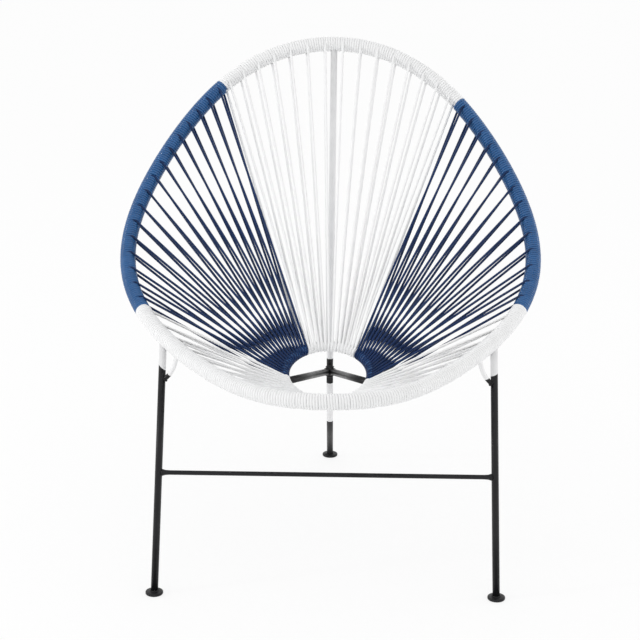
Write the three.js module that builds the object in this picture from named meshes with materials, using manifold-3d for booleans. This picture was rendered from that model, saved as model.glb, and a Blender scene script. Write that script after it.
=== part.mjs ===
// Acapulco chair: an egg-shaped seat strung with plastic cord, on a rigid frame of steel tube and rod.
// Lengths are in millimetres and angles in degrees. +Z is up, the sitter faces -Y, and +X is to the
// right of someone who looks at the chair from the front. The feet stand on z = 0, and y = 0 is the
// line of the front feet until the end, where the origin moves to the middle of the footprint.

import * as THREE from 'three';
import { mergeVertices } from 'three/addons/utils/BufferGeometryUtils.js';
import Module from 'manifold-3d';

const wasm = await Module();
wasm.setup();

// Rim and hub ring
const rimWidth = 734;
const rimDepth = 680;
const rimFrontHeight = 390;
const rimTopHeight = 865;
const rimOverhang = 76;
const rimTubeDiameter = 19;
const hubRadius = 76.3;
const hubRodDiameter = 10;
const hubDrop = 9;
const hubSetback = 161;
const hubTilt = 20;

// Cord
const windingThickness = 4.5;
const strandDiameter = 4.2;
const strandSink = 1.5;

// Frame under the seat
const frameTubeDiameter = 12.7;
const thinRodDiameter = 8;
const footInset = 69;
const rearFootSetback = 642;
const footDiameter = 31;
const footThickness = 5;
const footChamfer = 1.2;
const stretcherHeight = 203;
const stretcherFlareDiameter = 12;
const stretcherFlareLength = 13;
const junctionSetback = 420;
const junctionHeight = 265;
const armAngle = 16.5;
const braceDrop = 78;
const braceBelly = 13;
const gussetSize = 20;
const gussetThickness = 5;

// Clearance between pieces that touch, and how far a cutter runs past what it cuts
const fit = 0.3;
const overrun = 40;

// The egg outline of the rim seen from above, as harmonics of its half width, and the power of
// its depth by which the rim climbs from the level front edge to the raked top.
const eggShares = [1, -0.11, -0.032, 0.005, 0.019];
const climbPower = 2.05;

// Where frame pieces meet the rim, as shares of its length from the middle of the front edge
const braceShare = 0.1333;
const legShare = 0.1507;

// The stringing goes round from the right end of the front, one cord of one colour to a section.
// A section covers a stretch of the rim and an arc of the hub ring, and has its first and last
// spoke at two shares of the rim. A crowd share above zero draws the spokes together towards the
// section's end, and the fan power spreads them at the middle of its arc of the hub ring.
const white = new THREE.Color(0.87, 0.87, 0.86);
const blue = new THREE.Color(0.03, 0.09, 0.28);
const sections = [
  {
    name: 'right', colour: blue, panels: 4, spokes: 14, crowdShare: 0.12, fanPower: 1,
    rimShares: [0.1893, 0.3878], spokeShares: [0.1983, 0.381], hubAngles: [-14.7, 49],
  },
  {
    name: 'back', colour: white, panels: 4, spokes: 15, crowdShare: 0, fanPower: 1,
    rimShares: [0.3878, 0.5963], spokeShares: [0.3954, 0.5907], hubAngles: [49, 119.8],
  },
  {
    name: 'left', colour: blue, panels: 4, spokes: 16, crowdShare: -0.12, fanPower: 1,
    rimShares: [0.5963, 0.8172], spokeShares: [0.6013, 0.8083], hubAngles: [119.8, 190.3],
  },
  {
    name: 'front', colour: white, panels: 6, spokes: 21, crowdShare: 0, fanPower: 0.62,
    rimShares: [0.8172, 1.1893], spokeShares: [0.8246, 1.1754], hubAngles: [190.3, 345.3],
  },
];

const steelLook = { color: new THREE.Color(0.03, 0.03, 0.032), roughness: 0.42, metalness: 0.35 };
const cordRoughness = 0.33;

// Facets
const barSides = 12;
const rodSides = 10;
const strandSides = 5;
const rimSides = 8;
const rimStepsPerPanel = 3;
const hubSides = 8;
const hubStepAngle = 12;
const braceSteps = 6;
const footSides = 24;

// Sizes that follow from the ones above
const rimRadius = rimTubeDiameter / 2;
const rimWoundRadius = rimRadius + windingThickness;
const boreRadius = rimRadius + fit;
const hubRodRadius = hubRodDiameter / 2;
const hubWoundRadius = hubRodRadius + windingThickness;
const frameRadius = frameTubeDiameter / 2;
const footSpacing = rimWidth - 2 * footInset;
const clearance = 2 * fit;
const rimFront = -rimOverhang;
const hubCentre = new THREE.Vector3(0, rimFront + hubSetback, rimFrontHeight - hubDrop);
const junction = new THREE.Vector3(0, junctionSetback, junctionHeight);
const sides = [{ word: 'left', side: -1 }, { word: 'right', side: 1 }];

function mirrored(point, side) {
  return new THREE.Vector3(side * point.x, point.y, point.z);
}

// The centre line of the rim tube, a closed curve that starts at the middle of the front edge and
// goes round by the right.
class RimLine extends THREE.Curve {
  constructor() {
    super();
    const steps = 720;
    const widths = Array.from({ length: steps }, (_, step) => this.egg(Math.PI * step / steps));
    this.widest = Math.max(...widths);
    this.arcLengthDivisions = 2 * steps;
  }

  egg(angle) {
    return eggShares.reduce((sum, share, at) => sum + share * Math.sin((at + 1) * angle), 0);
  }

  getPoint(share, target = new THREE.Vector3()) {
    const angle = 2 * Math.PI * share;
    const depthShare = (1 - Math.cos(angle)) / 2;
    return target.set(
      rimWidth / 2 * this.egg(angle) / this.widest,
      rimFront + rimDepth * depthShare,
      rimFrontHeight + (rimTopHeight - rimFrontHeight) * depthShare ** climbPower,
    );
  }
}

const rimLine = new RimLine();
const rimLength = rimLine.getLength();

// A place on the rim or the hub ring: its point, the direction round the ring, and two directions
// across it, in towards the middle of the hub and up on the sitter's side.
function placeAt(point, along) {
  const inward = hubCentre.clone().sub(point);
  inward.addScaledVector(along, -inward.dot(along)).normalize();
  return { point, along, inward, upward: along.clone().cross(inward) };
}

function rimPlace(share) {
  const around = (share % 1 + 1) % 1;
  return placeAt(rimLine.getPointAt(around), rimLine.getTangentAt(around));
}

function hubPlace(degrees) {
  const angle = THREE.MathUtils.degToRad(degrees);
  const tilt = new THREE.Euler(THREE.MathUtils.degToRad(hubTilt), 0, 0);
  const outward = new THREE.Vector3(Math.cos(angle), Math.sin(angle), 0).applyEuler(tilt);
  const along = new THREE.Vector3(-Math.sin(angle), Math.cos(angle), 0).applyEuler(tilt);
  return placeAt(hubCentre.clone().addScaledVector(outward, hubRadius), along);
}

// Rings of points round a place, and a closed skin through rings, each joined to the next. A
// looped skin joins its last ring to its first, and any other is capped at both ends.
function ringAt(place, radius, count) {
  return Array.from({ length: count }, (_, at) => {
    const angle = 2 * Math.PI * (at + 1 / 2) / count;
    return place.point.clone()
      .addScaledVector(place.inward, radius * Math.cos(angle))
      .addScaledVector(place.upward, radius * Math.sin(angle));
  });
}

function skinThrough(rings, looped = true) {
  const count = rings[0].length;
  const last = (rings.length - 1) * count;
  const index = [];
  for (let ring = 0; ring < rings.length - (looped ? 0 : 1); ring += 1) {
    const here = ring * count;
    const next = (ring + 1) % rings.length * count;
    for (let at = 0; at < count; at += 1) {
      const over = (at + 1) % count;
      index.push(here + at, here + over, next + over, here + at, next + over, next + at);
    }
  }
  for (let at = 1; at < count - 1 && !looped; at += 1) {
    index.push(0, at + 1, at, last, last + at, last + at + 1);
  }
  const points = rings.flat().flatMap((point) => point.toArray());
  const geometry = new THREE.BufferGeometry();
  geometry.setAttribute('position', new THREE.Float32BufferAttribute(points, 3));
  geometry.setIndex(index);
  return facingOut(geometry);
}

// Turns the faces round if the skin encloses a negative volume
function facingOut(geometry) {
  const position = geometry.getAttribute('position');
  const index = Array.from(geometry.getIndex().array);
  const corners = index.map((at) => new THREE.Vector3().fromBufferAttribute(position, at));
  let volume = 0;
  for (let at = 0; at < corners.length; at += 3) {
    volume += corners[at].dot(corners[at + 1].clone().cross(corners[at + 2]));
  }
  if (volume < 0) geometry.setIndex(index.reverse());
  return geometry;
}

// Solids that cut and join, and back to geometry
function solidOf(geometry) {
  const bare = new THREE.BufferGeometry();
  bare.setAttribute('position', geometry.getAttribute('position'));
  bare.setIndex(geometry.getIndex());
  const merged = mergeVertices(bare, fit / 1000);
  return new wasm.Manifold(new wasm.Mesh({
    numProp: 3,
    vertProperties: new Float32Array(merged.getAttribute('position').array),
    triVerts: new Uint32Array(merged.getIndex().array),
  }));
}

function geometryOf(solid) {
  const mesh = solid.getMesh();
  const geometry = new THREE.BufferGeometry();
  geometry.setAttribute('position', new THREE.Float32BufferAttribute(mesh.vertProperties, 3));
  geometry.setIndex(Array.from(mesh.triVerts));
  return geometry;
}

function cutBy(solid, cutters) {
  return cutters.reduce((left, cutter) => left.subtract(cutter), solid);
}

// A round bar along an open curve
function barAlong(curve, diameter, steps = 1, count = barSides) {
  const outline = new THREE.Shape(Array.from({ length: count }, (_, at) => {
    const angle = 2 * Math.PI * (at + 1 / 2) / count;
    return new THREE.Vector2(Math.cos(angle), Math.sin(angle)).multiplyScalar(diameter / 2);
  }));
  return solidOf(new THREE.ExtrudeGeometry(outline, { steps, bevelEnabled: false, extrudePath: curve }));
}

function pointBetween(from, to, distance) {
  return from.clone().addScaledVector(to.clone().sub(from).normalize(), distance);
}

const chair = new THREE.Group();

function addPiece(name, solid, look) {
  const geometry = geometryOf(solid);
  geometry.computeVertexNormals();
  const mesh = new THREE.Mesh(geometry, new THREE.MeshStandardMaterial(look));
  mesh.name = name;
  chair.add(mesh);
}

// Stringing: each section is made as panels of a few neighbouring spokes, and a panel ends midway
// between two spokes.
function spokeShare(section, spoke) {
  const [first, last] = section.spokeShares;
  const share = spoke / (section.spokes - 1);
  return THREE.MathUtils.lerp(first, last, share + section.crowdShare * share * (1 - share));
}

function panelsOf(section) {
  const endOf = (at) => Math.round(section.spokes * at / section.panels);
  const ends = Array.from({ length: section.panels + 1 }, (_, at) => endOf(at));
  const shareOf = (spoke) => {
    if (spoke === 0) return section.rimShares[0];
    if (spoke === section.spokes) return section.rimShares[1];
    return (spokeShare(section, spoke - 1) + spokeShare(section, spoke)) / 2;
  };
  return ends.slice(1).map((end, at) => ({
    section,
    name: `cords_${section.name}_${at + 1}`,
    spokes: Array.from({ length: end - ends[at] }, (_, step) => ends[at] + step),
    from: shareOf(ends[at]),
    to: shareOf(end),
  }));
}

const panels = sections.flatMap(panelsOf);

// The rim tube has a ring at each end and step of a panel, and so has the bore of the winding
// round it, so that the facets of one lie inside the facets of the other.
function rimSteps(panel, trim = 0) {
  return Array.from({ length: rimStepsPerPanel + 1 }, (_, step) => (
    rimPlace(THREE.MathUtils.lerp(panel.from + trim, panel.to - trim, step / rimStepsPerPanel))
  ));
}

function rimTube(radius) {
  const places = panels.flatMap((panel) => rimSteps(panel).slice(0, -1));
  return solidOf(skinThrough(places.map((place) => ringAt(place, radius, rimSides))));
}

function hubSteps(section, trim = 0) {
  const [from, to] = section.hubAngles;
  const steps = Math.ceil((to - from) / hubStepAngle);
  return Array.from({ length: steps + 1 }, (_, step) => (
    hubPlace(THREE.MathUtils.lerp(from + trim, to - trim, step / steps))
  ));
}

function hubRing(radius) {
  const places = sections.flatMap((section) => hubSteps(section).slice(0, -1));
  return solidOf(skinThrough(places.map((place) => ringAt(place, radius, hubSides))));
}

function sleeve(places, bore, radius, count) {
  const inside = places.map((place) => ringAt(place, bore, count));
  const outside = places.map((place) => ringAt(place, radius, count)).reverse();
  return solidOf(skinThrough([...inside, ...outside]));
}

addPiece('rim_tube', rimTube(rimRadius), steelLook);
addPiece('hub_ring', hubRing(hubRodRadius), steelLook);

// Frame: each bar runs on to the centre line of what it is welded to and is cut to fit it
const rimCutter = rimTube(rimRadius + fit);
const hubCutter = hubRing(hubRodRadius + fit);
const groundCutter = solidOf(new THREE.BoxGeometry(
  footSpacing + footDiameter + 2 * overrun,
  rearFootSetback + footDiameter + 2 * overrun,
  overrun,
).translate(0, rearFootSetback / 2, footThickness + fit - overrun / 2));

const legTop = rimLine.getPointAt(legShare);
const legFoot = new THREE.Vector3(footSpacing / 2, 0, 0);
const rearFoot = new THREE.Vector3(0, rearFootSetback, 0);
const spineTop = rimLine.getPointAt(1 / 2);
const spineEnd = pointBetween(spineTop, junction, spineTop.distanceTo(junction) + frameRadius);

function legLine(side) {
  return new THREE.LineCurve3(mirrored(legTop, side), mirrored(legFoot, side));
}

function braceLine(side) {
  const head = rimLine.getPointAt(braceShare);
  const foot = pointBetween(legTop, legFoot, braceDrop);
  const belly = head.clone().lerp(foot, 1 / 2);
  belly.x -= braceBelly;
  belly.z -= braceBelly;
  return new THREE.QuadraticBezierCurve3(mirrored(head, side), mirrored(belly, side), mirrored(foot, side));
}

function armLine(side, spare = 0) {
  const root = junction.clone();
  root.x += frameRadius / 2;
  const ring = hubPlace(-armAngle).point;
  const end = pointBetween(root, ring, root.distanceTo(ring) - hubRodRadius + spare);
  return new THREE.LineCurve3(mirrored(root, side), mirrored(end, side));
}

function stretcherLine() {
  const share = (legFoot.z + stretcherHeight) / legTop.z;
  const end = legFoot.clone().lerp(legTop, share);
  return [mirrored(end, -1), end];
}

const spineLine = new THREE.LineCurve3(spineTop, spineEnd);
const rearLegLine = new THREE.LineCurve3(junction, rearFoot);
const spineCutter = barAlong(spineLine, frameTubeDiameter + clearance);
const armCutters = sides.map(({ side }) => barAlong(armLine(side, fit), frameTubeDiameter + clearance));
const legCutters = sides.map(({ side }) => barAlong(legLine(side), frameTubeDiameter + clearance));
const braceCutters = sides.map(({ side }) => (
  barAlong(braceLine(side), thinRodDiameter + clearance, braceSteps, rodSides)
));

// The two arms, and the two gussets, meet at the middle plane of the chair.
function farSide(side) {
  const box = new THREE.BoxGeometry(overrun, 2 * overrun, 2 * overrun);
  return solidOf(box.translate(side * (fit - overrun) / 2, junction.y, junction.z));
}

const farSides = sides.map(({ side }) => farSide(side));

addPiece('spine', cutBy(barAlong(spineLine, frameTubeDiameter), [rimCutter]), steelLook);
const rearLeg = barAlong(rearLegLine, frameTubeDiameter);
addPiece('rear_leg', cutBy(rearLeg, [spineCutter, groundCutter, ...armCutters]), steelLook);
sides.forEach(({ word, side }, at) => {
  const arm = barAlong(armLine(side), frameTubeDiameter);
  const leg = barAlong(legLine(side), frameTubeDiameter);
  const brace = barAlong(braceLine(side), thinRodDiameter, braceSteps, rodSides);
  addPiece(`arm_${word}`, cutBy(arm, [hubCutter, spineCutter, farSides[at]]), steelLook);
  addPiece(`front_leg_${word}`, cutBy(leg, [rimCutter, groundCutter]), steelLook);
  addPiece(`leg_brace_${word}`, cutBy(brace, [rimCutter, legCutters[at]]), steelLook);
});

// The stretcher is a rod that flares where it is welded to the legs.
function stretcher() {
  const [left, right] = stretcherLine();
  const reach = left.distanceTo(right) / 2;
  const radius = thinRodDiameter / 2;
  const flare = stretcherFlareDiameter / 2;
  const waist = reach - frameRadius - stretcherFlareLength;
  const half = [
    [flare, reach],
    [flare, reach - frameRadius],
    [(radius + flare) / 2, reach - frameRadius - stretcherFlareLength / 3],
    [radius, waist],
  ];
  const profile = [
    [0, reach],
    ...half,
    ...half.slice().reverse().map(([out, height]) => [out, -height]),
    [0, -reach],
  ].reverse().map(([out, height]) => new THREE.Vector2(out, height));
  const geometry = new THREE.LatheGeometry(profile, barSides);
  geometry.rotateZ(Math.PI / 2);
  geometry.translate(0, left.y, left.z);
  return solidOf(geometry);
}

addPiece('stretcher', cutBy(stretcher(), legCutters), steelLook);

// A gusset fills the corner between the spine and an arm.
function gusset(side) {
  const up = spineTop.clone().sub(junction).normalize();
  const out = armLine(side).getTangentAt(0);
  const across = out.clone().cross(up).normalize();
  const square = across.clone().cross(out).normalize();
  const rise = up.clone().projectOnPlane(across);
  const outline = new THREE.Shape([
    new THREE.Vector2(0, 0),
    new THREE.Vector2(gussetSize, 0),
    new THREE.Vector2(rise.dot(out), rise.dot(square)).multiplyScalar(gussetSize),
  ]);
  const geometry = new THREE.ExtrudeGeometry(outline, { depth: gussetThickness, bevelEnabled: false });
  geometry.translate(0, 0, -gussetThickness / 2);
  geometry.applyMatrix4(new THREE.Matrix4().makeBasis(out, square, across).setPosition(junction));
  return solidOf(geometry);
}

sides.forEach(({ word, side }, at) => {
  addPiece(`gusset_${word}`, cutBy(gusset(side), [spineCutter, ...armCutters, farSides[at]]), steelLook);
});

// Feet: round discs under the legs
function footDisc(place) {
  const radius = footDiameter / 2;
  const profile = [
    [0, 0],
    [radius - footChamfer, 0],
    [radius, footChamfer],
    [radius, footThickness - footChamfer],
    [radius - footChamfer, footThickness],
    [0, footThickness],
  ].map(([out, height]) => new THREE.Vector2(out, height));
  const geometry = new THREE.LatheGeometry(profile, footSides);
  geometry.rotateX(Math.PI / 2);
  geometry.translate(place.x, place.y, place.z);
  return solidOf(geometry);
}

sides.forEach(({ word, side }) => addPiece(`foot_${word}`, footDisc(mirrored(legFoot, side)), steelLook));
addPiece('foot_rear', footDisc(rearFoot), steelLook);

// Cords
const frameCutters = [spineCutter, ...armCutters, ...legCutters, ...braceCutters];
const rimStrandOffset = rimWoundRadius - strandDiameter / 2 - strandSink;
const rimStrandSeat = rimStrandOffset + strandDiameter / 2 + fit;
const hubStrandOffset = hubWoundRadius - strandDiameter / 2;
const hubStrandSeat = hubWoundRadius + clearance;

function cordLook(section) {
  return { color: section.colour, roughness: cordRoughness, metalness: 0 };
}

// Where a spoke meets the hub ring
function hubAngle(section, share) {
  const [first, last] = section.rimShares;
  const [from, to] = section.hubAngles;
  const swing = 2 * (share - first) / (last - first) - 1;
  return (from + to) / 2 + (to - from) / 2 * Math.sign(swing) * Math.abs(swing) ** section.fanPower;
}

// The point above or below a ring's centre line where a strand that runs off along it touches
function touchPoint(place, run, height) {
  const normal = place.along.clone().cross(run).normalize();
  return place.point.clone().addScaledVector(normal, height);
}

// Where a line that starts beside a ring's centre line leaves the round seat about it
function leavingPoint(start, run, place, seat) {
  const offset = start.clone().sub(place.point).projectOnPlane(place.along);
  const pace = run.clone().projectOnPlane(place.along);
  const half = offset.dot(pace) / pace.lengthSq();
  const rest = (offset.lengthSq() - seat ** 2) / pace.lengthSq();
  return start.clone().addScaledVector(run, Math.sqrt(half ** 2 - rest) - half);
}

// Where a spoke leaves the rim, on the facets of its panel
function spokePlace(panel, share) {
  const places = rimSteps(panel);
  const step = rimStepsPerPanel * (share - panel.from) / (panel.to - panel.from);
  const [here, next] = places.slice(Math.floor(step), Math.floor(step) + 2).map((place) => place.point);
  return placeAt(here.clone().lerp(next, step % 1), next.clone().sub(here).normalize());
}

// A spoke is an upper and a lower strand, and each stops on a round seat at both ends.
function strandsOf(panel, spoke) {
  const share = spokeShare(panel.section, spoke);
  const rim = spokePlace(panel, share);
  const hub = hubPlace(hubAngle(panel.section, share));
  const run = hub.point.clone().sub(rim.point);
  return [1, -1].map((side) => {
    const start = touchPoint(rim, run, side * rimStrandOffset);
    const end = touchPoint(hub, run, side * hubStrandOffset);
    const ahead = end.clone().sub(start).normalize();
    const back = ahead.clone().negate();
    const high = rim.along.clone().cross(ahead).normalize();
    const wide = ahead.clone().cross(high);
    const edges = Array.from({ length: strandSides }, (_, at) => {
      const angle = 2 * Math.PI * at / strandSides;
      return high.clone().multiplyScalar(Math.cos(angle))
        .addScaledVector(wide, Math.sin(angle))
        .multiplyScalar(strandDiameter / 2);
    });
    return solidOf(skinThrough([
      edges.map((edge) => leavingPoint(start.clone().add(edge), ahead, rim, rimStrandSeat)),
      edges.map((edge) => leavingPoint(end.clone().add(edge), back, hub, hubStrandSeat)),
    ], false));
  });
}

panels.forEach((panel) => {
  const trim = fit / 2 / rimLength;
  const winding = sleeve(rimSteps(panel, trim), boreRadius, rimWoundRadius, rimSides);
  const strands = panel.spokes.flatMap((spoke) => strandsOf(panel, spoke));
  const strung = strands.reduce((solid, strand) => solid.add(strand), winding);
  addPiece(panel.name, cutBy(strung, frameCutters), cordLook(panel.section));
});

sections.forEach((section) => {
  const trim = THREE.MathUtils.radToDeg(fit / 2 / hubRadius);
  const winding = sleeve(hubSteps(section, trim), hubRodRadius + fit, hubWoundRadius, hubSides);
  addPiece(`hub_winding_${section.name}`, cutBy(winding, armCutters), cordLook(section));
});

// The origin stands at the middle of the footprint, on the floor.
const box = new THREE.Box3().setFromObject(chair);
chair.position.set(-(box.min.x + box.max.x) / 2, -(box.min.y + box.max.y) / 2, -box.min.z);

export default chair;
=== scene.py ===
"""Acapulco chair: strung cord seat on a rigid frame of steel tube and rod.

Lengths are in millimetres until a mesh is made. Points are measured from the middle between the
front feet, with z = 0 on the floor, and OFFSET takes them to the model's own origin.
"""

import bisect
import math

import bpy
from mathutils import Matrix, Vector


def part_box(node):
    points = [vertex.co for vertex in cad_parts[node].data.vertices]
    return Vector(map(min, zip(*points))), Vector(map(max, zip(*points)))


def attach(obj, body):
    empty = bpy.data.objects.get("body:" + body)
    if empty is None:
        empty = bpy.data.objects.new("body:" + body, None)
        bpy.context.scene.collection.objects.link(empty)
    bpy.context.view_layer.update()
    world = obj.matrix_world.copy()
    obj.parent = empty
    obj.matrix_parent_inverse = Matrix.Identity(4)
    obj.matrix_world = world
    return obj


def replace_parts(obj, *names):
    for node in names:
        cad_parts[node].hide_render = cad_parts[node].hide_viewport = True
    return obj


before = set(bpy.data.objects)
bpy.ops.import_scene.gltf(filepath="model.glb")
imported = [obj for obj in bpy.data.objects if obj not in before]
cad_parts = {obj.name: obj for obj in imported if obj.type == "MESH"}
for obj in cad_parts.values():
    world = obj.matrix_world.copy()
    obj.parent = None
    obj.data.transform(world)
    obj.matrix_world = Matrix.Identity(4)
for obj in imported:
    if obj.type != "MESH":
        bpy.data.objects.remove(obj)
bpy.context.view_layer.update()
MM = 0.001

# The middle between the front feet, in the model's own frame
feet = [sum(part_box(name), Vector()) / 2 for name in ("foot_left", "foot_right")]
OFFSET = Vector(((feet[0].x + feet[1].x) / 2, feet[0].y, 0)) / MM

# The rim's centre line: its outline is a sum of sine waves, and it climbs by a power of the depth
RIM_WIDTH, RIM_DEPTH, RIM_FRONT, RIM_LOW, RIM_TOP = 734, 680, -76, 390, 865
EGG = (1, -0.11, -0.032, 0.005, 0.019)
CLIMB = 2.05

# The cord, and how far its turns' line lies from the centre line of the rim and of the hub ring
CORD = 4.5
RIM_WINDING = 19 / 2 + CORD / 2
HUB_WINDING = 10 / 2 + CORD / 2

# The hub ring, the bars and the feet. The front legs and their braces meet the rim at shares of
# its length, and the arms meet the hub ring at an angle in front of its sides.
HUB = Vector((0, 85, 381))
HUB_RADIUS, HUB_TILT = 76.3, 20
BAR, ROD = 12.7, 8
LEG_SHARE, BRACE_SHARE, ARM_ANGLE = 0.1507, 0.1333, 16.5
JUNCTION = Vector((0, 420, 265))
FOOT_X, REAR_Y, FOOT_TOP, FOOT_RADIUS = 298, 642, 5, 15.5
STRETCHER_HEIGHT, FLARE, FLARE_LENGTH = 203, 6, 13
BRACE_DROP, BRACE_BELLY = 78, 13

# The seat's colour sections. rim is where the section starts and ends as shares of the rim's
# length from the middle of the front, ends the same for its first and last spoke, and hub its
# start and end round the hub ring in degrees. crowd shifts the spokes along the rim, and a fan
# below 1 spreads them on the hub ring towards the section's ends. slide in mm on the rim and turn
# in degrees on the hub ring say how far along the strand below lies from the one above, at the
# first spoke and at the last.
SECTIONS = (
    dict(name="right", cord="blue", spokes=14, crowd=0.12, fan=1, rim=(0.1893, 0.3878),
         ends=(0.1983, 0.381), hub=(-14.7, 49), slide=(4, 7), turn=(-2, -3)),
    dict(name="back", cord="white", spokes=15, crowd=0, fan=1, rim=(0.3878, 0.5963),
         ends=(0.3954, 0.5907), hub=(49, 119.8), slide=(-13, 12), turn=(-2, 4)),
    dict(name="left", cord="blue", spokes=16, crowd=-0.12, fan=1, rim=(0.5963, 0.8172),
         ends=(0.6013, 0.8083), hub=(119.8, 190.3), slide=(-6, -6), turn=(4, 3)),
    dict(name="front", cord="white", spokes=21, crowd=0, fan=0.62, rim=(0.8172, 1.1893),
         ends=(0.8246, 1.1754), hub=(190.3, 345.3), slide=(-3, 3), turn=(0, 0)),
)
PANELS = dict(right=4, back=4, left=4, front=6)

# Winding: a turn's pitch and thickness as shares of the cord's, and the unevenness of the turns
# along the ring, in turns, and out of it
PITCH, PLUMP = 1.01, 1.12
UNEVEN_ALONG, UNEVEN_OUT = 0.05, 0.12
# The ends of a winding sink by TUCK over TUCK_TURNS. A turn sinks by up to LET_IN under a strand,
# looked for within STRAND_REACH along the ring.
TUCK, TUCK_TURNS = 2.5, 0.35
LET_IN, STRAND_REACH = 1.8, 22
RIM_TURN_STEPS, HUB_TURN_STEPS = 18, 14
HUB_SETTLED = 0.5  # the turns on the hub ring lie this much lower

# Strands: arcs in degrees round the rim and the hub ring, where 0 is the way to the other of the
# two and 90 is above it, their steps, and how far they lie outside the turns' line
SLIM = 0.97
ABOVE_ARC, BELOW_ARC, HUB_ARC = (122, 54), (238, 306), (280, 80)
ARC_STEPS, HUB_ARC_STEPS = 12, 14
RIM_LIFT, HUB_LIFT = 0.6, 0.9
SINK = 3.6  # a strand comes up from this far under its arc
HIDDEN = 5  # the points of an arc on the rim that are still under the turns


# Rim and hub lines
def egg(angle):
    """The rim's half width at an angle from the front, before it is scaled to the full width."""
    return sum(share * math.sin((at + 1) * angle) for at, share in enumerate(EGG))


EGG_STEPS = 720
WIDEST = max(egg(math.pi * step / EGG_STEPS) for step in range(EGG_STEPS))


def rim_raw(share):
    """A point of the rim's centre line, at a share of the angle round the egg."""
    angle = 2 * math.pi * share
    depth = (1 - math.cos(angle)) / 2
    return Vector((RIM_WIDTH / 2 * egg(angle) / WIDEST, RIM_FRONT + RIM_DEPTH * depth,
                   RIM_LOW + (RIM_TOP - RIM_LOW) * depth ** CLIMB))


STEPS = 2880
RIM_POINTS = [rim_raw(step / STEPS) for step in range(STEPS + 1)]
RIM_RUN = [0.0]
for here, there in zip(RIM_POINTS, RIM_POINTS[1:]):
    RIM_RUN.append(RIM_RUN[-1] + (there - here).length)
RIM_LENGTH = RIM_RUN[-1]


def rim_point(share):
    """A point of the rim's centre line, at a share of its length from the middle of the front."""
    run = (share % 1) * RIM_LENGTH
    low = min(bisect.bisect_right(RIM_RUN, run), STEPS) - 1
    part = (run - RIM_RUN[low]) / (RIM_RUN[low + 1] - RIM_RUN[low])
    return RIM_POINTS[low].lerp(RIM_POINTS[low + 1], part)


def flat(vector, axis):
    """The part of a vector that is square to an axis."""
    return vector - axis * vector.dot(axis)


class Place:
    """A point on a ring's centre line, with the direction along it and two across it."""

    def __init__(self, point, along):
        self.point = point
        self.along = along
        self.inward = flat(HUB - point, along).normalized()
        self.upward = along.cross(self.inward)


def rim_place(share):
    """A place on the rim, at a share of its length from the middle of the front."""
    near = 0.5 / RIM_LENGTH
    along = (rim_point(share + near) - rim_point(share - near)).normalized()
    return Place(rim_point(share), along)


def hub_place(degrees):
    """A place on the hub ring, from its right side round by the back."""
    angle = math.radians(degrees)
    tilt = Matrix.Rotation(math.radians(HUB_TILT), 3, "X")
    outward = tilt @ Vector((math.cos(angle), math.sin(angle), 0))
    along = tilt @ Vector((-math.sin(angle), math.cos(angle), 0))
    return Place(HUB + outward * HUB_RADIUS, along)


# Mesh building
TUBE_SIDE = Vector((0.31, 0.17, 0.93))  # any direction that no path starts along


class Skin:
    """Vertices and faces of swept tubes, gathered into one mesh."""

    def __init__(self):
        self.points, self.faces = [], []

    def tube(self, path, radius, sides, closed=False):
        """A round tube along a path. The radius is one number, or one for each point."""
        count = len(path)
        radii = radius if isinstance(radius, (list, tuple)) else [radius] * count
        ways, ups = [], []
        for at in range(count):
            back = path[at - 1] if at or closed else path[at]
            ahead = path[(at + 1) % count] if at < count - 1 or closed else path[at]
            ways.append((ahead - back).normalized())
        side = TUBE_SIDE
        for way in ways:
            side = flat(side, way).normalized()
            ups.append(side)
        twist = 0
        if closed:
            last = flat(ups[-1], ways[0]).normalized()
            twist = math.atan2(ups[0].cross(last).dot(ways[0]), ups[0].dot(last))
        base = len(self.points)
        for at in range(count):
            other = ways[at].cross(ups[at])
            for step in range(sides):
                angle = 2 * math.pi * step / sides - twist * at / count
                out = ups[at] * math.cos(angle) + other * math.sin(angle)
                self.points.append(path[at] + out * radii[at])
        for at in range(count if closed else count - 1):
            for step in range(sides):
                over = (step + 1) % sides
                here, there = base + at * sides, base + (at + 1) % count * sides
                self.faces.append((here + step, here + over, there + over, there + step))
        if not closed:
            last = base + (count - 1) * sides
            self.faces.append(tuple(base + step for step in reversed(range(sides))))
            self.faces.append(tuple(last + step for step in range(sides)))

    def lathe(self, profile, start, way, sides):
        """A turned shape about a line, from pairs of a radius and a height along the line."""
        self.tube([start + way * height for _, height in profile], [out for out, _ in profile],
                  sides)

    def make(self, name, material, slot):
        """The piece with this mesh. Its quads are smooth, and its flat ends are not."""
        mesh = bpy.data.meshes.new(name)
        mesh.from_pydata([(point + OFFSET) * MM for point in self.points], [], self.faces)
        mesh.validate()
        mesh.polygons.foreach_set("use_smooth", [len(face.vertices) == 4 for face in mesh.polygons])
        mesh.update()
        piece = bpy.data.objects.new(name, mesh)
        bpy.context.collection.objects.link(piece)
        mesh.materials.append(material)
        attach(piece, "root")
        return piece


# Materials
def new_material(name):
    material = bpy.data.materials.new(name)
    material.use_nodes = True
    tree = material.node_tree
    return material, tree, tree.nodes["Principled BSDF"]


def noise(tree, scale, detail, roughness):
    coordinates = tree.nodes.new("ShaderNodeTexCoord")
    node = tree.nodes.new("ShaderNodeTexNoise")
    node.inputs["Scale"].default_value = scale
    node.inputs["Detail"].default_value = detail
    node.inputs["Roughness"].default_value = roughness
    tree.links.new(coordinates.outputs["Object"], node.inputs["Vector"])
    return node.outputs["Fac"]


def ramp(tree, source, *stops):
    """Colours between two stops, each a position with a colour."""
    node = tree.nodes.new("ShaderNodeValToRGB")
    for element, (position, colour) in zip(node.color_ramp.elements, stops):
        element.position, element.color = position, colour
    tree.links.new(source, node.inputs["Fac"])
    return node.outputs["Color"]


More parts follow.
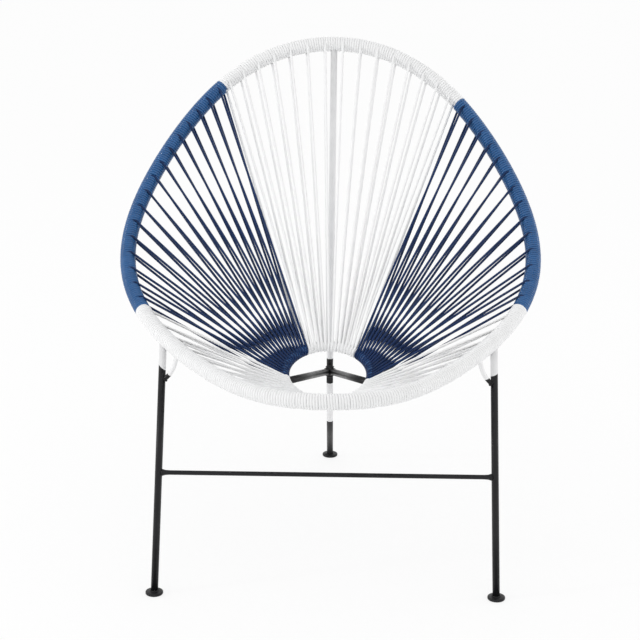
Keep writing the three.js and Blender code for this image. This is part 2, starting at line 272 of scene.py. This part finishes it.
def math_node(tree, operation, source, other=None):
    """A calculation on one socket, on two, or on one and a number."""
    node = tree.nodes.new("ShaderNodeMath")
    node.operation = operation
    tree.links.new(source, node.inputs[0])
    if isinstance(other, bpy.types.NodeSocket):
        tree.links.new(other, node.inputs[1])
    elif other is not None:
        node.inputs[1].default_value = other
    return node.outputs[0]


def grey(value):
    return (value, value, value, 1)


def surface(name, tones, rough, tone, gloss, grain, bump, gleam):
    """A surface with uneven tone and gloss and a fine grain.

    tones are its darkest and lightest colours and rough its lowest and highest roughness. tone
    and gloss each give a noise's scale, its detail, and where on it the second of the two starts.
    grain is the bump's noise scale, and bump its strength and depth."""
    material, tree, shader = new_material(name)
    for socket, (scale, detail, top), ends in (
            ("Base Color", tone, [(*colour, 1) for colour in tones]),
            ("Roughness", gloss, [grey(value) for value in rough])):
        mixed = ramp(tree, noise(tree, scale, detail, 0.6), (0.3, ends[0]), (top, ends[1]))
        tree.links.new(mixed, shader.inputs[socket])
    relief = tree.nodes.new("ShaderNodeBump")
    relief.inputs["Strength"].default_value, relief.inputs["Distance"].default_value = bump
    tree.links.new(noise(tree, grain, 2, 0.5), relief.inputs["Height"])
    tree.links.new(relief.outputs["Normal"], shader.inputs["Normal"])
    shader.inputs["IOR"].default_value = 1.5
    shader.inputs["Specular IOR Level"].default_value = gleam
    return material, tree, shader


def cord_material(name, tones, rough, gleam, milky=0):
    """Smooth extruded plastic cord with fine handling marks. A milky one lets some light in."""
    material, _, shader = surface(name, tones, rough, tone=(38, 4, 0.7), gloss=(160, 3, 0.75),
                                  grain=900, bump=(0.06, 0.0004), gleam=gleam)
    shader.inputs["Subsurface Weight"].default_value = milky
    shader.inputs["Subsurface Radius"].default_value = (1, 1, 1)
    shader.inputs["Subsurface Scale"].default_value = CORD / 2 * MM
    return material


def steel_material(name):
    """Satin black paint on steel, with a faint orange peel and slightly rubbed tone."""
    return surface(name, ((0.007, 0.007, 0.008), (0.013, 0.013, 0.015)), (0.31, 0.44),
                   tone=(22, 5, 0.75), gloss=(70, 4, 0.75), grain=420, bump=(0.12, 0.0006),
                   gleam=0.25)


BEYOND = 2000  # farther than any part of the chair
PALE = (0.83, 0.83, 0.835, 1), (0.88, 0.88, 0.885, 1)


def part_pale(name, way, level, end=BEYOND):
    """Black paint that gives way to a pale coat where a point's dot product with a direction lies
    between two levels."""
    material, tree, shader = steel_material(name)
    dark = shader.inputs["Base Color"].links[0].from_socket
    pale = ramp(tree, noise(tree, 30, 4, 0.6), (0.3, PALE[0]), (0.7, PALE[1]))
    coordinates = tree.nodes.new("ShaderNodeTexCoord")
    along = tree.nodes.new("ShaderNodeVectorMath")
    along.operation = "DOT_PRODUCT"
    along.inputs[1].default_value = way
    tree.links.new(coordinates.outputs["Object"], along.inputs[0])
    middle = (Vector(way).dot(OFFSET) + (level + end) / 2) * MM
    apart = math_node(tree, "SUBTRACT", along.outputs["Value"], middle)
    within = math_node(tree, "LESS_THAN", math_node(tree, "ABSOLUTE", apart),
                       (end - level) / 2 * MM)
    mix = tree.nodes.new("ShaderNodeMix")
    mix.data_type = "RGBA"
    tree.links.new(within, mix.inputs["Factor"])
    tree.links.new(dark, mix.inputs["A"])
    tree.links.new(pale, mix.inputs["B"])
    tree.links.new(mix.outputs["Result"], shader.inputs["Base Color"])
    return material


BLUE = cord_material("blue_cord", ((0.014, 0.085, 0.24), (0.026, 0.12, 0.315)), (0.15, 0.25), 0.45)
# The blue strands are the same cord as the blue windings. This darker copy of its colour is painted
# shade for the strands' shaded spans.
SHADED_BLUE = cord_material("blue_cord_painted_shade", ((0.003, 0.018, 0.07), (0.007, 0.029, 0.11)), (0.2, 0.3), 0.2)
WHITE = cord_material("white_cord", ((0.87, 0.872, 0.875), (0.91, 0.912, 0.915)), (0.35, 0.5), 0.3,
                      milky=0.3)
WINDINGS = dict(blue=BLUE, white=WHITE)
# Blue strands take the darker copy with painted shade, and white strands take the plain white cord
STRANDS = dict(blue=SHADED_BLUE, white=WHITE)

BLACK = steel_material("black_steel")[0]
SPINE = part_pale("spine_steel", (0, 0, 1), 290)
REAR = part_pale("rear_steel", (0, 0, 1), 116, 233.5)
SIDES = dict(left=part_pale("left_steel", (0.8, 0, 1), 148.5),
             right=part_pale("right_steel", (-0.4, 0, 1), 259))


# Cords
def spoke_share(section, spoke):
    """Where a spoke leaves the rim, as a share of the rim's length."""
    share = spoke / (section["spokes"] - 1)
    low, high = section["ends"]
    return low + (high - low) * (share + section["crowd"] * share * (1 - share))


def hub_degrees(section, share):
    """Where the spoke at a share of the rim's length meets the hub ring."""
    low, high = section["rim"]
    start, end = section["hub"]
    swing = 2 * (share - low) / (high - low) - 1
    spread = math.copysign(abs(swing) ** section["fan"], swing)
    return (start + end) / 2 + (end - start) / 2 * spread


def sway(step, size):
    """A small uneven shift that is the same at every run."""
    return size * (math.sin(step * 1.71) + math.sin(step * 0.63 + 1.3)
                   + math.sin(step * 2.93 + 0.4)) / 3


def winding(skin, place_at, start, end, length, radius, per_turn, spokes=()):
    """Cord wound turn by turn round a ring, let in where the cords of the spokes pass over it."""
    turns = round(length / (CORD * PITCH))
    path = []
    count = turns * per_turn
    for step in range(count + 1):
        turn = step / per_turn
        share = start + (end - start) * step / count
        drift = (end - start) / turns * sway(turn, UNEVEN_ALONG)
        place = place_at(share + drift * min(1, turn, turns - turn))
        angle = 2 * math.pi * turn
        out = place.inward * math.cos(angle) + place.upward * math.sin(angle)
        tucked = TUCK * max(0, TUCK_TURNS - turn, TUCK_TURNS - turns + turn) / TUCK_TURNS
        point = place.point + out * (radius + sway(turn * 1.37 + 2, UNEVEN_OUT) - tucked)
        lines = [line for mark, line in spokes
                 if abs(mark - share) * length < STRAND_REACH * abs(end - start)]
        close = min(((point - other).length for line in lines for other in line), default=CORD)
        path.append(point - out * LET_IN * max(0, 1 - close / CORD))
    skin.tube(path, CORD / 2 * PLUMP, 8)


def ring_arc(place, run, arc, radius, steps, sink=0):
    """Points round a ring from one angle to another about the way a strand runs off, its top at 90.

    With a sink, the arc comes up from that depth."""
    start, end = arc
    out = flat(run, place.along).normalized()
    top = place.along.cross(run).normalized()
    points = []
    for step in range(steps + 1):
        angle = math.radians(start + (end - start) * step / steps)
        reach = radius - sink * (1 - step / steps)
        points.append(place.point + (out * math.cos(angle) + top * math.sin(angle)) * reach)
    return points


def spoke_cord(section, spoke):
    """One spoke's cord: up out of the winding, down to the hub ring, round it, and back below.

    With it come the places on the rim where it passes over the winding."""
    part = spoke / (section["spokes"] - 1)
    slide, turn = (low + (high - low) * part for low, high in (section["slide"], section["turn"]))
    share = spoke_share(section, spoke)
    degrees = hub_degrees(section, share)
    shares = share, share + slide / RIM_LENGTH
    rims = [rim_place(at) for at in shares]
    hubs = hub_place(degrees), hub_place(degrees + turn)
    runs = [(hub.point - rim.point).normalized() for rim, hub in zip(rims, hubs)]
    above, below = (ring_arc(rim, run, arc, RIM_WINDING + RIM_LIFT, ARC_STEPS, SINK)
                    for rim, run, arc in zip(rims, runs, (ABOVE_ARC, BELOW_ARC)))
    arcs = [ring_arc(hub, -run, HUB_ARC, HUB_WINDING + HUB_LIFT, HUB_ARC_STEPS)
            for hub, run in zip(hubs, runs)]
    round_hub = [here.lerp(there, at / HUB_ARC_STEPS)
                 for at, (here, there) in enumerate(zip(*arcs))]
    marks = list(zip(shares, (above[HIDDEN:], below[HIDDEN:])))
    return marks, above + round_hub + below[::-1]


def make_section(section):
    """One colour section: its strands, its winding on the rim and its winding on the hub ring."""
    name, material = section["name"], WINDINGS[section["cord"]]
    slot = section["cord"] + "_cord"
    strung, marks = Skin(), []
    for spoke in range(section["spokes"]):
        ends, line = spoke_cord(section, spoke)
        marks += ends
        strung.tube(line, CORD / 2 * SLIM, 10)
    # Blue strands are drawn in the darker copy of the blue cord, which is painted shade
    strung_piece = strung.make(f"seat_cords_{name}", STRANDS[section["cord"]], slot)
    low, high = section["rim"]
    wound = Skin()
    winding(wound, rim_place, low, high, (high - low) * RIM_LENGTH, RIM_WINDING, RIM_TURN_STEPS,
            marks)
    rim_piece = wound.make(f"rim_winding_{name}", material, slot)
    low, high = section["hub"]
    turned = Skin()
    winding(turned, hub_place, low, high, math.radians(high - low) * HUB_RADIUS,
            HUB_WINDING - HUB_SETTLED, HUB_TURN_STEPS)
    hub_piece = turned.make(f"hub_cord_{name}", material, slot)
    panels = [f"cords_{name}_{at + 1}" for at in range(PANELS[name])]
    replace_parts(rim_piece, *panels)
    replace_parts(strung_piece, *panels)
    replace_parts(hub_piece, f"hub_winding_{name}")


for section in SECTIONS:
    make_section(section)

# How far a bar starts or ends from the points that its centre line runs to: the spine's top, neck
# and lower end, the rear leg's top, the arms' ends and the front legs' top
SPINE_TOP, SPINE_NECK, SPINE_END, SPINE_TAPER = 8, 24, 5.5, 0.92
REAR_TOP, ARM_ROOT, ARM_RING, LEG_TOP = 2, 2, 4.5, 9
FOOT_CUT = FOOT_TOP / 2  # the legs are cut level at this height, inside the foot discs

# Weld beads: how far along the bar from the point, how far outside the bar, and how thick
JUNCTION_BEAD, ARM_BEAD = (-9, 0.2, 1.6), (12, 0.1, 1.5)
BRACE_BEAD, FOOT_BEAD = (-7.5, 0.2, 1.3), (0, 0.2, 1.5)
BEAD_HEIGHT = FOOT_TOP + 0.3
BEAD_SIDE = Vector((0.3, 0.9, 0.2))  # any direction that no bar has
BEAD_RIPPLE, BEAD_UNEVEN, BEAD_WANDER = 0.13, 0.12, 0.5

# Profiles of half the stretcher, as a radius and a distance from its end, and of a foot disc, as
# what the radius loses and a height
STRETCHER_SUNK = 2
FLARE_PROFILE = ((FLARE, 0), (FLARE, 2.5), (FLARE - 0.4, 4), (FLARE - 1.5, 7.5),
                 (ROD / 2 + 0.15, FLARE_LENGTH), (ROD / 2, FLARE_LENGTH + 2))
FOOT_PROFILE = ((2.2, 0), (0.7, 0.3), (0, 1.3), (0, 3.6), (0.5, 4.5), (1.5, FOOT_TOP),
                (4, FOOT_TOP))


# Frame
def bezier(points, steps):
    """A smooth line from the first point to the last, drawn towards those between."""
    path = []
    for step in range(steps + 1):
        level = list(points)
        while len(level) > 1:
            level = [a.lerp(b, step / steps) for a, b in zip(level, level[1:])]
        path.append(level[0])
    return path


def mirrored(point, side):
    """A point of the right side, or with side -1 its like on the left."""
    return Vector((side * point.x, point.y, point.z))


def to_height(point, way, height):
    """The place where a line through a point along a direction has a given height."""
    return point + way * ((height - point.z) / way.z)


def bar(name, path, radius, node, material, sides=28, foot=None):
    """A round bar. With a foot, its first end is cut level at that height."""
    skin = Skin()
    skin.tube(path, radius, sides)
    if foot is not None:
        way = (path[1] - path[0]).normalized()
        skin.points[:sides] = [to_height(point, way, foot) for point in skin.points[:sides]]
    piece = skin.make(name, material, "steel")
    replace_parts(piece, node)


def bead(skin, point, way, bar_radius, size, lumps=22, height=None):
    """A ring of weld metal round a bar where it meets another. With a height, it lies level."""
    along, outside, thickness = size
    centre = point + way * along
    side = flat(BEAD_SIDE, way).normalized()
    other = way.cross(side)
    path, sizes = [], []
    for step in range(4 * lumps):
        angle = 2 * math.pi * step / (4 * lumps)
        out = side * math.cos(angle) + other * math.sin(angle)
        spot = centre + out * (bar_radius + outside)
        if height is None:
            spot += way * sway(step * 0.21, BEAD_WANDER)
        else:
            spot = to_height(spot, way, height)
        path.append(spot)
        sizes.append(thickness * (1 + BEAD_RIPPLE * math.sin(lumps * angle)
                                  + sway(step * 0.4, BEAD_UNEVEN)))
    skin.tube(path, sizes, 10, closed=True)


leg_top = rim_point(LEG_SHARE)
leg_foot = Vector((FOOT_X, 0, 0))
rear_foot = Vector((0, REAR_Y, 0))
rear_way = (JUNCTION - rear_foot).normalized()


def make_middle(welds):
    """The spine and the rear leg, which meet at the junction."""
    spine_top = rim_point(0.5)
    spine_way = (JUNCTION - spine_top).normalized()
    bar("spine_bar", [spine_top + spine_way * SPINE_TOP, JUNCTION - spine_way * SPINE_NECK,
                      JUNCTION + spine_way * SPINE_END],
        [BAR / 2, BAR / 2, BAR / 2 * SPINE_TAPER], "spine", SPINE)
    bar("rear_leg_bar", [rear_foot, JUNCTION - rear_way * REAR_TOP], BAR / 2, "rear_leg", REAR,
        foot=FOOT_CUT)
    bead(welds, JUNCTION, rear_way, BAR / 2, JUNCTION_BEAD)
    bead(welds, JUNCTION, spine_way, BAR / 2, JUNCTION_BEAD)


def make_side(welds, word, side):
    """One side's arm, front leg and leg brace."""
    root = mirrored(JUNCTION + Vector((BAR / 4, 0, 0)), side)
    ring = mirrored(hub_place(-ARM_ANGLE).point, side)
    way = (ring - root).normalized()
    bar(f"arm_bar_{word}", [root + way * ARM_ROOT, ring - way * ARM_RING], BAR / 2, f"arm_{word}",
        BLACK)
    bead(welds, root, way, BAR / 2, ARM_BEAD)
    top, foot = mirrored(leg_top, side), mirrored(leg_foot, side)
    way = (top - foot).normalized()
    bar(f"front_leg_bar_{word}", [foot, top - way * LEG_TOP], BAR / 2, f"front_leg_{word}",
        SIDES[word], foot=FOOT_CUT)
    bead(welds, foot, way, BAR / 2, FOOT_BEAD, height=BEAD_HEIGHT)
    head = mirrored(rim_point(BRACE_SHARE), side)
    low = top - way * BRACE_DROP
    belly = head.lerp(low, 0.5) + Vector((-side * BRACE_BELLY, 0, -BRACE_BELLY))
    curve = bezier([head, belly, low], 24)
    bar(f"leg_brace_rod_{word}", curve, ROD / 2, f"leg_brace_{word}", SIDES[word], 20)
    bead(welds, low, (curve[-1] - curve[-2]).normalized(), ROD / 2, BRACE_BEAD, 16)


def make_stretcher():
    """The rod between the front legs, with flared ends."""
    end = leg_foot.lerp(leg_top, STRETCHER_HEIGHT / leg_top.z)
    span = end.x - BAR / 2 + STRETCHER_SUNK
    half = [(out, span - back) for out, back in FLARE_PROFILE]
    rod = Skin()
    rod.lathe([(out, -far) for out, far in half] + half[::-1], Vector((0, end.y, end.z)),
              Vector((1, 0, 0)), 28)
    stretcher = rod.make("stretcher_rod", BLACK, "steel")
    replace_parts(stretcher, "stretcher")


weld_skin = Skin()
make_middle(weld_skin)
make_side(weld_skin, "left", -1)
make_side(weld_skin, "right", 1)
bead(weld_skin, rear_foot, rear_way, BAR / 2, FOOT_BEAD, height=BEAD_HEIGHT)
make_stretcher()
for word, place in (("left", mirrored(leg_foot, -1)), ("right", leg_foot), ("rear", rear_foot)):
    disc = Skin()
    disc.lathe([(FOOT_RADIUS - less, height) for less, height in FOOT_PROFILE], place,
               Vector((0, 0, 1)), 64)
    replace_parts(disc.make(f"foot_disc_{word}", BLACK, "steel"), f"foot_{word}")
weld_skin.make("weld_beads", BLACK, "steel")
for node in ("rim_tube", "hub_ring", "gusset_left", "gusset_right"):
    solid = bpy.data.objects[node]
    solid.data.materials.clear()
    solid.data.materials.append(BLACK)

# Camera at the photograph's viewing angle, with the focal length in pixels of a 640-pixel picture
VIEW = dict(x=-12.8042, back=2809.2015, height=1424.0566, pitch=18.0936, roll=-0.4829, yaw=0.929,
            focal=1785.3733)
SENSOR, PICTURE = 36, 640


def make_camera():
    yaw, pitch, roll = (math.radians(VIEW[key]) for key in ("yaw", "pitch", "roll"))
    turn = Matrix.Rotation(yaw, 3, "Z")
    right = turn @ Vector((1, 0, 0))
    ahead = turn @ Vector((0, math.cos(pitch), -math.sin(pitch)))
    up = turn @ Vector((0, math.sin(pitch), math.cos(pitch)))
    axis_x = right * math.cos(roll) - up * math.sin(roll)
    axis_y = right * math.sin(roll) + up * math.cos(roll)
    place = turn @ Vector((VIEW["x"], -VIEW["back"], VIEW["height"])) + OFFSET
    camera = bpy.data.objects.new("camera", bpy.data.cameras.new("camera"))
    bpy.context.collection.objects.link(camera)
    turned = Matrix((axis_x, axis_y, -ahead)).transposed().to_4x4()
    camera.matrix_world = Matrix.Translation(place * MM) @ turned
    camera.data.sensor_width = SENSOR
    camera.data.lens = SENSOR * VIEW["focal"] / PICTURE
    camera.data.clip_end = 100
    bpy.context.scene.camera = camera


make_camera()

# Floor and world. They show as white, and light the chair a little less than white would.
FLOOR_REACH, FLOOR_DEPTH, FLOOR_GLOW = 12, 0.0005, 0.8
WORLD_LIGHT = 0.94


def background_rays(tree):
    """1 for the rays that show the background: straight ones, mirrored ones and through glass."""
    rays = tree.nodes.new("ShaderNodeLightPath")
    shown = rays.outputs["Is Camera Ray"]
    for kind in ("Is Glossy Ray", "Is Transmission Ray"):
        shown = math_node(tree, "MAXIMUM", shown, rays.outputs[kind])
    return shown


def make_floor():
    material, tree, shader = new_material("floor")
    shader.inputs["Base Color"].default_value = (0.95, 0.95, 0.95, 1)
    shader.inputs["Roughness"].default_value = 0.9
    glow = tree.nodes.new("ShaderNodeEmission")
    glow.inputs["Strength"].default_value = 1
    mix = tree.nodes.new("ShaderNodeMixShader")
    tree.links.new(math_node(tree, "MULTIPLY", background_rays(tree), FLOOR_GLOW),
                   mix.inputs["Fac"])
    tree.links.new(shader.outputs[0], mix.inputs[1])
    tree.links.new(glow.outputs[0], mix.inputs[2])
    tree.links.new(mix.outputs[0], tree.nodes["Material Output"].inputs["Surface"])
    mesh = bpy.data.meshes.new("floor")
    ends = -FLOOR_REACH, FLOOR_REACH
    mesh.from_pydata([(x, y, 0) for x in ends for y in ends], [], [(0, 2, 3, 1)])
    mesh.materials.append(material)
    floor = bpy.data.objects.new("floor", mesh)
    bpy.context.collection.objects.link(floor)
    floor.location.z = -FLOOR_DEPTH


def make_world():
    world = bpy.data.worlds.new("studio")
    bpy.context.scene.world = world
    world.use_nodes = True
    tree = world.node_tree
    background = tree.nodes["Background"]
    background.inputs["Color"].default_value = (1, 1, 1, 1)
    strength = tree.nodes.new("ShaderNodeMapRange")
    strength.inputs["To Min"].default_value = WORLD_LIGHT
    strength.inputs["To Max"].default_value = 1
    tree.links.new(background_rays(tree), strength.inputs["Value"])
    tree.links.new(strength.outputs["Result"], background.inputs["Strength"])


def lamp(name, place, target, size, power):
    data = bpy.data.lights.new(name, "AREA")
    data.shape = "DISK"
    data.size = size
    data.energy = power
    obj = bpy.data.objects.new(name, data)
    bpy.context.collection.objects.link(obj)
    obj.location = place
    obj.rotation_euler = (Vector(target) - Vector(place)).to_track_quat("-Z", "Y").to_euler()


make_floor()
make_world()
lamp("key", (-3.2, -0.9, 1.3), (0, 0, 0.5), 0.35, 19)
lamp("fill", (3.2, 0.2, 0.7), (0, 0, 0.3), 0.5, 9)

scene = bpy.context.scene
scene.view_settings.view_transform = "Standard"
bpy.context.view_layer.update()
